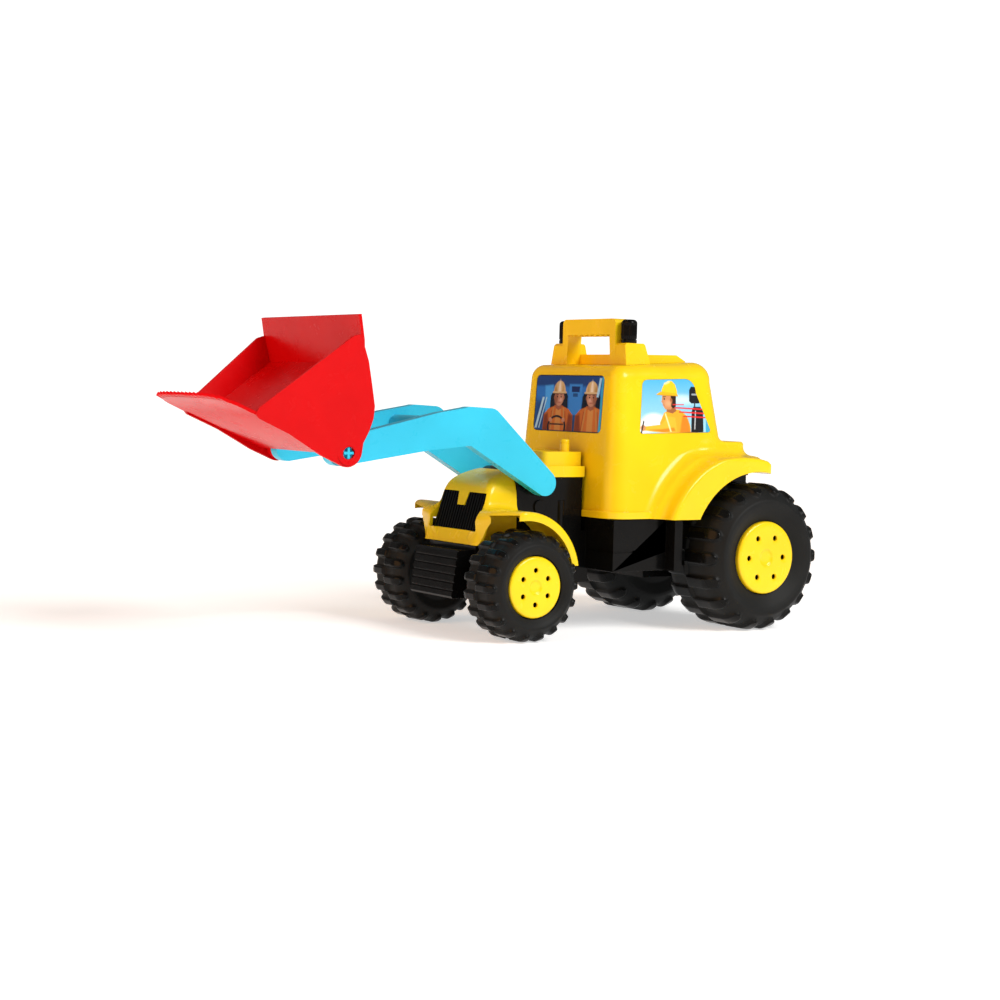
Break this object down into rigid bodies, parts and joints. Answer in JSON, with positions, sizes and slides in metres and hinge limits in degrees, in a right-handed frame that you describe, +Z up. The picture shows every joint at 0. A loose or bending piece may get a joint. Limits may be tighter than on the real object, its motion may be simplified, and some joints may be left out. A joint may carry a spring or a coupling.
{
  "type": "toy front loader",
  "caption": "Large moulded-plastic toy front loader: yellow cab and hood on a black chassis, lugged free-rolling wheels, blue lift arms and a red bucket that tilts.",
  "frame": {"origin": "on the floor under the middle of the overall length and width", "axes": "+X points forward past the bucket, +Y to the toy's left, +Z up"},
  "size_m": [0.6622, 0.26, 0.312],
  "materials": {
    "yellow_plastic": "gloss moulded polypropylene",
    "black_plastic": "gloss moulded polypropylene",
    "blue_plastic": "gloss moulded polypropylene",
    "red_plastic": "gloss moulded polypropylene",
    "tyre_plastic": "satin blow-moulded plastic",
    "steel": "plain drawn steel",
    "printed_vinyl": "gloss printed vinyl film"
  },
  "bodies": {
    "chassis": {"chassis_frame": "black_plastic", "front_bumper": "black_plastic", "engine_block": "black_plastic", "body_screws": "steel", "front_cowl": "yellow_plastic", "grille": "black_plastic", "engine_cover": "yellow_plastic", "air_cap": "yellow_plastic", "cab_shell": "yellow_plastic", "windscreen_sticker": "printed_vinyl", "window_sticker_left": "printed_vinyl", "window_sticker_right": "printed_vinyl", "roof_handle": "yellow_plastic", "lamp_left": "black_plastic", "lamp_right": "black_plastic", "rear_axle": "steel", "front_axle": "steel", "rear_axle_nuts": "steel", "front_axle_nuts": "steel"},
    "wheel_rear_left": {"tyre_rear_left": "tyre_plastic", "hub_rear_left": "yellow_plastic"},
    "wheel_rear_right": {"tyre_rear_right": "tyre_plastic", "hub_rear_right": "yellow_plastic"},
    "wheel_front_left": {"tyre_front_left": "tyre_plastic", "hub_front_left": "yellow_plastic"},
    "wheel_front_right": {"tyre_front_right": "tyre_plastic", "hub_front_right": "yellow_plastic"},
    "arms": {"arm_left": "blue_plastic", "arm_right": "blue_plastic", "arm_cross_tube": "blue_plastic"},
    "bucket": {"bucket": "red_plastic"}
  },
  "joints": [
    {"name": "wheel_rear_left_spin", "type": "hinge", "parent": "chassis", "child": "wheel_rear_left", "pos_m": [-0.25618, 0, 0.075], "axis": [0, 1, 0], "continuous": true},
    {"name": "wheel_rear_right_spin", "type": "hinge", "parent": "chassis", "child": "wheel_rear_right", "pos_m": [-0.25618, 0, 0.075], "axis": [0, 1, 0], "continuous": true},
    {"name": "wheel_front_left_spin", "type": "hinge", "parent": "chassis", "child": "wheel_front_left", "pos_m": [0.01582, 0, 0.053], "axis": [0, 1, 0], "continuous": true},
    {"name": "wheel_front_right_spin", "type": "hinge", "parent": "chassis", "child": "wheel_front_right", "pos_m": [0.01582, 0, 0.053], "axis": [0, 1, 0], "continuous": true},
    {"name": "arm_lift", "type": "hinge", "parent": "chassis", "child": "arms", "pos_m": [-0.03018, 0, 0.148], "axis": [0, -1, 0], "range_deg": [-34, 40]},
    {"name": "bucket_tilt", "type": "hinge", "parent": "arms", "child": "bucket", "pos_m": [0.19922, 0, 0.1775], "axis": [0, 1, 0], "range_deg": [-15, 75]}
  ]
}
